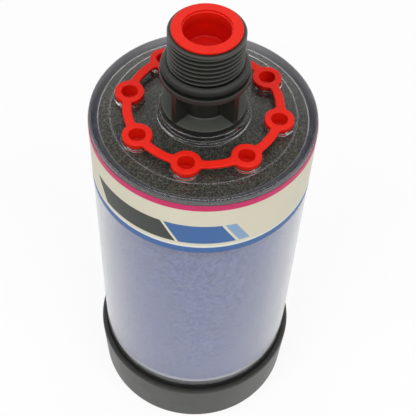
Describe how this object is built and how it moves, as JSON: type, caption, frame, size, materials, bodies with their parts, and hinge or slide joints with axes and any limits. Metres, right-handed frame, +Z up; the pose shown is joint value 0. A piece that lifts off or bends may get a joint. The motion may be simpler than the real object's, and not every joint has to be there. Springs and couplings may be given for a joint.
{
  "type": "silica gel breather",
  "caption": "Clear cylindrical desiccant breather on a dark end cap, with a ribbed pipe-thread mount, a gel bed inside, a pull-out stem plug and a lift-off ring of vent plugs.",
  "frame": {"origin": "centre of the end cap's foot", "axes": "+Z up along the axis towards the pipe thread, -Y to the front of the label"},
  "size_m": [0.1098, 0.1098, 0.2552],
  "materials": {
    "clear_plastic": "clear moulded plastic, glossy",
    "cap_plastic": "dark grey moulded plastic, satin",
    "mount_nylon": "black moulded nylon, satin",
    "seal_rubber": "black rubber",
    "red_plastic": "soft red moulded plastic",
    "pipe_plastic": "pale grey extruded pipe",
    "foam": "dark open-cell foam",
    "felt": "white needled felt",
    "gel": "pale blue-violet glassy beads",
    "label_film": "printed film in plain fields of colour"
  },
  "bodies": {
    "breather": {"base_cap": "cap_plastic", "lower_foam_pad": "foam", "lower_filter_disc": "felt", "silica_gel_bed": "gel", "upper_filter_disc": "felt", "upper_foam_pad": "foam", "standpipe": "pipe_plastic", "clear_housing": "clear_plastic", "wrap_label": "label_film", "threaded_mount": "mount_nylon", "mount_o_ring": "seal_rubber"},
    "plug": {"stem_plug": "red_plastic"},
    "vent_plugs": {"vent_plug_ring": "red_plastic"}
  },
  "joints": [
    {"name": "stem_plug_pull", "type": "slide", "parent": "breather", "child": "plug", "axis": [0, 0, 1], "range_m": [0, 0.03]},
    {"name": "vent_ring_lift", "type": "slide", "parent": "breather", "child": "vent_plugs", "axis": [0, 0, 1], "range_m": [0, 0.06]}
  ]
}
